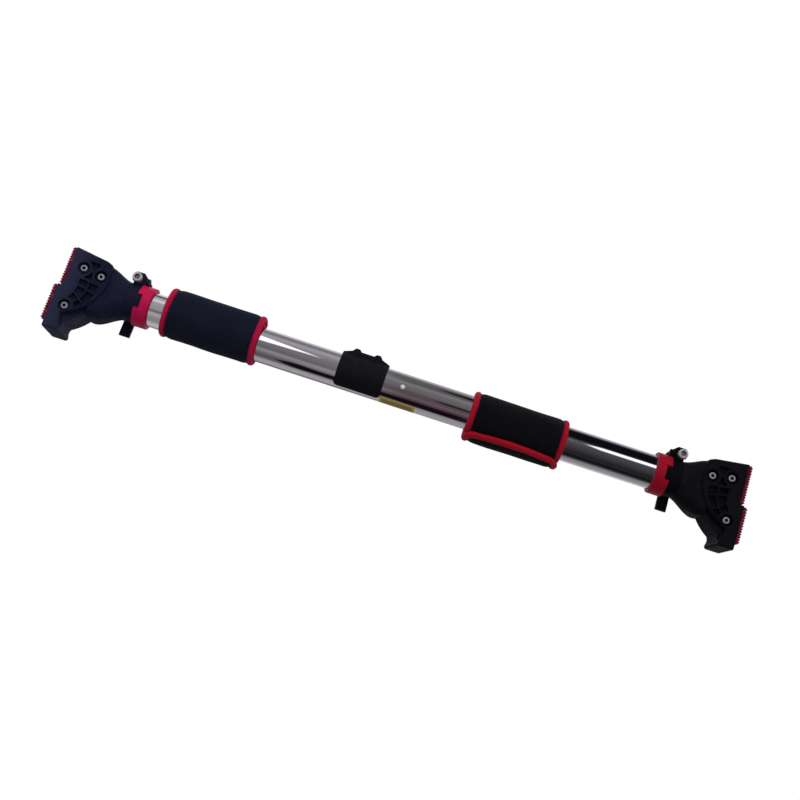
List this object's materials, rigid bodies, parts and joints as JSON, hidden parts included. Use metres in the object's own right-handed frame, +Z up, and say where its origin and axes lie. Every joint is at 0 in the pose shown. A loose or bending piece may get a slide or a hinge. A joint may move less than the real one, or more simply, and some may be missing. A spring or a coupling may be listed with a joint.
{
  "type": "doorway pull up bar",
  "caption": "Telescoping doorway pull-up bar with chrome tube, foam grips, moulded pressure heads, quick-release clamps and lock rings.",
  "frame": {"origin": "middle of the bar, on the tube's axis", "axes": "+X along the bar towards the head beside the longer bare tube, +Z up with the heads' feet pointing down, front with the socket screws faces -Y"},
  "size_m": [0.778, 0.0556, 0.0944],
  "materials": {
    "chrome_tube": "polished",
    "chrome_steel": "polished",
    "zinc_steel": "zinc plated",
    "black_steel": "satin powder coat",
    "black_lever": "satin",
    "black_plastic": "fine moulded texture",
    "saddle_plastic": "fine moulded texture",
    "red_plastic": "smooth moulded",
    "red_rubber": "textured",
    "black_foam": "soft closed-cell foam with knit face",
    "red_piping": "woven binding",
    "label_film": "printed film"
  },
  "bodies": {
    "left_head": {"left_front_shell": "black_plastic", "left_rear_shell": "black_plastic", "left_socket": "black_steel", "left_core_plate": "black_steel", "left_lead_screw": "zinc_steel", "left_housing_screws": "zinc_steel", "left_housing_nuts": "zinc_steel", "left_upper_pad": "red_rubber", "left_lower_pad": "red_rubber", "left_clamp_bolt": "chrome_steel", "left_barrel_nut": "zinc_steel"},
    "left_lever": {"left_cam_lever": "black_lever"},
    "left_ring": {"left_lock_ring": "red_plastic"},
    "saddle": {"saddle": "saddle_plastic"},
    "bar": {"left_tube": "chrome_tube", "right_tube": "chrome_tube", "joint_sleeve": "zinc_steel", "left_nut_plug": "zinc_steel", "right_nut_plug": "zinc_steel", "label": "label_film"},
    "button": {"snap_button": "chrome_steel", "button_spring": "zinc_steel"},
    "left_wrap": {"left_grip": "black_foam", "left_grip_piping": "red_piping"},
    "right_wrap": {"right_grip": "black_foam", "right_grip_piping": "red_piping"},
    "right_head": {"right_front_shell": "black_plastic", "right_rear_shell": "black_plastic", "right_socket": "black_steel", "right_core_plate": "black_steel", "right_lead_screw": "zinc_steel", "right_housing_screws": "zinc_steel", "right_housing_nuts": "zinc_steel", "right_upper_pad": "red_rubber", "right_lower_pad": "red_rubber", "right_clamp_bolt": "chrome_steel", "right_barrel_nut": "zinc_steel"},
    "right_lever": {"right_cam_lever": "black_lever"},
    "right_ring": {"right_lock_ring": "red_plastic"}
  },
  "joints": [
    {"name": "left_extend", "type": "slide", "parent": "left_head", "child": "saddle", "axis": [1, 0, 0], "range_m": [0, 0.024]},
    {"name": "bar_turn", "type": "hinge", "parent": "saddle", "child": "bar", "pos_m": [0, 0, 0], "axis": [1, 0, 0], "range_deg": [0, 2160]},
    {"name": "right_extend", "type": "slide", "parent": "saddle", "child": "right_head", "axis": [1, 0, 0], "range_m": [0, 0.024]},
    {"name": "left_lever_open", "type": "hinge", "parent": "left_head", "child": "left_lever", "pos_m": [-0.3102, 0.019, 0.027], "axis": [1, 0, 0], "range_deg": [0, 150]},
    {"name": "right_lever_open", "type": "hinge", "parent": "right_head", "child": "right_lever", "pos_m": [0.3102, 0.019, 0.027], "axis": [1, 0, 0], "range_deg": [0, 150]},
    {"name": "left_ring_pull", "type": "slide", "parent": "left_head", "child": "left_ring", "axis": [1, 0, 0], "range_m": [0, 0.008]},
    {"name": "right_ring_pull", "type": "slide", "parent": "right_head", "child": "right_ring", "axis": [-1, 0, 0], "range_m": [0, 0.008]},
    {"name": "left_grip_slide", "type": "slide", "parent": "bar", "child": "left_wrap", "axis": [1, 0, 0], "range_m": [-0.007, 0.089]},
    {"name": "right_grip_slide", "type": "slide", "parent": "bar", "child": "right_wrap", "axis": [1, 0, 0], "range_m": [-0.057, 0.092]},
    {"name": "button_press", "type": "slide", "parent": "bar", "child": "button", "axis": [0, 1, 0], "range_m": [0, 0.003], "stiffness_N_per_m": 900, "springref_m": -0.002}
  ],
  "couplings": [
    {"joint": "left_extend", "follows": "bar_turn", "m_per_rad": 0.00063661},
    {"joint": "right_extend", "follows": "bar_turn", "m_per_rad": 0.00063661}
  ]
}
